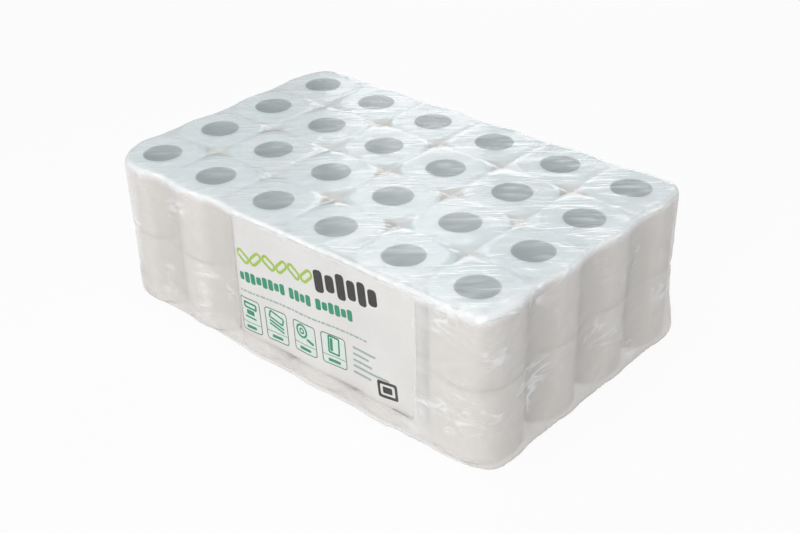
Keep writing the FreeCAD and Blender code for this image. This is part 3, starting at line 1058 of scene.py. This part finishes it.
# Folds, a waist between the layers and a slack foot, all kept low over the sheet
def shapeSides(place, normal, marks, chance):
    x, y, z = place.T
    cover = sheetMask(place, normal)
    calm = marks["side"] * (1 - 0.8 * cover)
    fold = sideGathers(place, chance) * calm
    wave = film["sideWave"] * calm * noiseAt(place, (22, 22, 15), 3.0)
    level = waistHeight + 0.002 * noiseAt(place, (9, 9, 0), 4.0)
    waist = bell(z - level, film["waistReach"]) * calm
    waist *= smoothstep(-0.3, 0.35, noiseAt(place, (12, 12, 0), 2.0))
    waist *= 1 - 0.75 * smoothstep(sheetHigh.x - 0.02, sheetHigh.x, x) * (y < 0) * marks["onLong"]
    frontal = smoothstep(0.5, 0.9, -normal[:, 1]) * np.exp(-((x - 0.09) / 0.22) ** 4)
    endward = 1.2 * smoothstep(0.5, 0.9, normal[:, 0])
    bulge = film["footBulge"] * np.maximum(frontal, endward) * smoothstep(film["footReach"], 0.006, z)
    marks.update(cover=cover, calm=calm, fold=fold, waist=waist)
    return fold + wave - film["waistSink"] * waist + bulge


# Crinkled rim where the film turns over the top edge
def shapeRim(place, normal, marks):
    x, y, z = place.T
    rim = bell(z - packTop + 0.003, 0.0055) * (1 - smoothstep(0.93, 0.995, normal[:, 2]))
    nearFront = bell(np.hypot(x - filmHigh.x + 0.02, y + filmHigh.y - 0.02), 0.075)
    pastEdge = np.maximum(np.abs(x) - filmHigh.x, np.abs(y) - filmHigh.y)
    band = bell(pastEdge + 0.008, 0.009) * marks["up"]
    crinkle = ridges(place * (46, 46, 60), 4)
    marks.update(rim=rim, nearFront=nearFront, band=band, crinkle=crinkle)
    fine = film["rimCrinkle"] * rim * (crinkle - 0.3) * smoothstep(0.2, 0.12, y)
    return fine + film["rimWave"] * (rim + band * 0.5) * noiseAt(place, (17, 17, 0), 9.0)


# What the material reads: how creased, crumpled, sunk or bare the film is, with painted highlights on the
# rim and painted shade in valleys
def lookFields(place, normal, marks):
    x, y, z = place.T
    side, fold, rim, band = marks["side"], marks["fold"], marks["rim"], marks["band"]
    nearFront, crinkle = marks["nearFront"], marks["crinkle"]
    patch = smoothstep(-0.05, 0.35, noiseAt(place, (19, 19, 19), 5.0))
    gathered = (0.34 + 0.6 * nearFront + fold / 0.0013) * smoothstep(0.004, 0.022, z)
    underRim = smoothstep(packTop - 0.026, packTop - 0.006, z) * side * (0.15 + 0.45 * nearFront)
    crumple = np.clip(marks["calm"] * patch * gathered, 0, 0.85) + underRim + 0.35 * rim + 0.2 * band
    ahead = smoothstep(0.19, 0.10, y)
    crease = 0.6 * marks["streak"] + 0.08 * marks["broad"] + 0.12 * fold / 0.001
    # painted highlight along the top rim, brightest towards the front
    crease += rim * (0.75 + 0.3 * crinkle) * (0.2 + 0.8 * ahead)
    # painted highlight in a band by the top edge, brightest near the front corner
    crease += band * (0.3 + 0.7 * nearFront) * (0.85 + 0.2 * crinkle) * ahead
    # painted light beside the sheet's edge, over the valley there
    crease += 0.6 * marks["besideSheet"] * side
    fromCorner = np.hypot(x + filmHigh.x - 0.012, y + filmHigh.y - 0.012)
    loose = bell(fromCorner, 0.024) * side * smoothstep(0.02, 0.05, z)
    frontFoot = 0.7 * smoothstep(0.5, 0.9, -normal[:, 1]) * smoothstep(0.022, 0.009, z)
    offSheet = 1 - 0.8 * marks["cover"]
    return {
        "crease": crease,
        "topward": marks["up"],
        "inner": marks["inner"],
        "sheetCover": marks["cover"],
        "crumple": crumple,
        # valley: painted shade in valleys, and more faintly at the waist between layers
        "valley": np.maximum(marks["valley"] * offSheet, 0.45 * marks["waist"]),
        "bare": np.maximum(loose, frontFoot),
    }


def drawFilm(bm):
    place = np.array([vert.co for vert in bm.verts])
    normal = np.array([vert.normal for vert in bm.verts])
    chance = np.random.default_rng(film["seed"])
    up = smoothstep(0.35, 0.85, normal[:, 2])
    down = smoothstep(0.3, 0.8, -normal[:, 2])
    marks = {"up": up, "side": (1 - up) * (1 - down)}
    squareCorners(place)
    pressCorner(place)
    marks.update(bridgeValleys(place, marks["side"]))
    shift = shapeTop(place, marks, chance)
    shift += shapeSides(place, normal, marks, chance)
    shift += shapeRim(place, normal, marks)
    place += normal * (shift * (1 - down))[:, None]
    place[:, 2] = np.maximum(place[:, 2], filmLow.z)
    for vert, point in zip(bm.verts, place):
        vert.co = point
    return lookFields(place, normal, marks)


def makeWrap():
    bm = remeshed(outerSkin(), film["voxel"])
    everyAxis = {"use_axis_x": True, "use_axis_y": True, "use_axis_z": True}
    for step in range(film["smoothing"]):
        bmesh.ops.smooth_vert(bm, verts=bm.verts, factor=0.5, **everyAxis)
    bm.normal_update()
    fields = drawFilm(bm)
    piece = addPiece("film", bm, filmMaterial, ["film_wrap"])
    for name, field in fields.items():
        layer = piece.data.attributes.new(name, "FLOAT", "POINT")
        layer.data.foreach_set("value", np.clip(field, 0.0, 1.2).astype(np.float32))
    print("film made,", len(piece.data.polygons), "faces")


makeWrap()

# Floor, world and lamps
studio = {
    "floorSize": 60.0,
    "floorDrop": 0.0004,
    "floorColour": (0.9, 0.9, 0.9, 1.0),
    "floorRoughness": 0.9,
    "floorWhite": 0.9,   # how much of the floor's white is its own, to the camera
    "skyColour": (0.97, 0.985, 1.0, 1.0),
    "ambient": 0.36,
    "lamps": [   # name, place, width, watts, colour
        ("overhead", (0.25, -0.6, 2.45), 2.0, 27.0, (0.93, 0.98, 1.0)),
        ("front", (0.75, -2.8, 1.3), 1.3, 26.0, (1.0, 0.97, 0.945)),
        ("behind", (-1.5, 2.7, 0.6), 1.9, 25.0, (1.0, 0.985, 0.97)),
        ("topGlint", (-1.6, 1.8, 1.7), 0.5, 1.3, (1.0, 1.0, 1.0)),
        ("leftGlint", (-1.9, -2.1, 0.55), 0.45, 5.0, (1.0, 0.99, 0.98)),
        ("rightGlint", (2.2, 1.7, 0.6), 0.7, 6.5, (1.0, 0.985, 0.96)),
    ],
}


def makeFloor():
    bm = bmesh.new()
    bmesh.ops.create_grid(bm, x_segments=1, y_segments=1, size=studio["floorSize"] / 2)
    bmesh.ops.translate(bm, verts=bm.verts, vec=(0, 0, -studio["floorDrop"]))
    mesh = bpy.data.meshes.new("floor")
    bm.to_mesh(mesh)
    bm.free()
    floor = bpy.data.objects.new("floor", mesh)
    bpy.context.scene.collection.objects.link(floor)
    material, tree, shader = newMaterial("paleFloor")
    shader.inputs["Base Color"].default_value = studio["floorColour"]
    shader.inputs["Roughness"].default_value = studio["floorRoughness"]
    glow = addNode(tree, "ShaderNodeEmission")
    glow.inputs["Strength"].default_value = 1.0
    mix = addNode(tree, "ShaderNodeMixShader")
    path = addNode(tree, "ShaderNodeLightPath")
    tree.links.new(product(tree, path.outputs["Is Camera Ray"], studio["floorWhite"]), mix.inputs[0])
    tree.links.new(shader.outputs[0], mix.inputs[1])
    tree.links.new(glow.outputs[0], mix.inputs[2])
    tree.links.new(mix.outputs[0], tree.nodes["Material Output"].inputs["Surface"])
    mesh.materials.append(material)


def makeWorld():
    world = bpy.data.worlds.new("studio")
    bpy.context.scene.world = world
    world.use_nodes = True
    tree = world.node_tree
    sky = tree.nodes["Background"]
    sky.inputs["Color"].default_value = studio["skyColour"]
    path = addNode(tree, "ShaderNodeLightPath")
    seen = mathNode(tree, "MAXIMUM", path.outputs["Is Camera Ray"], path.outputs["Is Transmission Ray"])
    strength = mathNode(tree, "MULTIPLY_ADD", seen, 1.0 - studio["ambient"], studio["ambient"])
    tree.links.new(strength, sky.inputs["Strength"])


def makeLamps():
    for name, place, width, power, colour in studio["lamps"]:
        lamp = bpy.data.lights.new(name, "AREA")
        lamp.shape = "SQUARE"
        lamp.size = width
        lamp.energy = power
        lamp.color = colour
        holder = bpy.data.objects.new(name, lamp)
        holder.location = place
        aim = Vector((0.0, 0.0, 0.1)) - Vector(place)
        holder.rotation_euler = aim.to_track_quat("-Z", "Y").to_euler()
        bpy.context.scene.collection.objects.link(holder)


# Camera: where the photograph was taken from
camera = {
    "focalPixels": 1256.0,
    "imageWidth": 800,
    "sensorWidth": 36.0,
    "azimuth": math.radians(42.434),
    "elevation": math.radians(30.506),
    "roll": math.radians(-1.505),
    "distance": 1.7994,
    "target": Vector((-0.0590, 0.0820, 0.0)),
}


def makeCamera():
    azimuth, elevation, lean = camera["azimuth"], camera["elevation"], camera["roll"]
    back = Vector((
        math.sin(azimuth) * math.cos(elevation),
        -math.cos(azimuth) * math.cos(elevation),
        math.sin(elevation),
    ))
    right = Vector((math.cos(azimuth), math.sin(azimuth), 0.0))
    up = back.cross(right)
    leaning = math.cos(lean) * right + math.sin(lean) * up
    upright = -math.sin(lean) * right + math.cos(lean) * up
    turn = Matrix((leaning, upright, back)).transposed().to_4x4()
    data = bpy.data.cameras.new("view")
    data.sensor_width = camera["sensorWidth"]
    data.lens = camera["focalPixels"] / camera["imageWidth"] * camera["sensorWidth"]
    holder = bpy.data.objects.new("view", data)
    holder.matrix_world = Matrix.Translation(camera["target"] + camera["distance"] * back) @ turn
    bpy.context.scene.collection.objects.link(holder)
    bpy.context.scene.camera = holder


makeFloor()
makeWorld()
makeLamps()
makeCamera()
bpy.context.scene.view_settings.view_transform = "Standard"
print("studio ready")
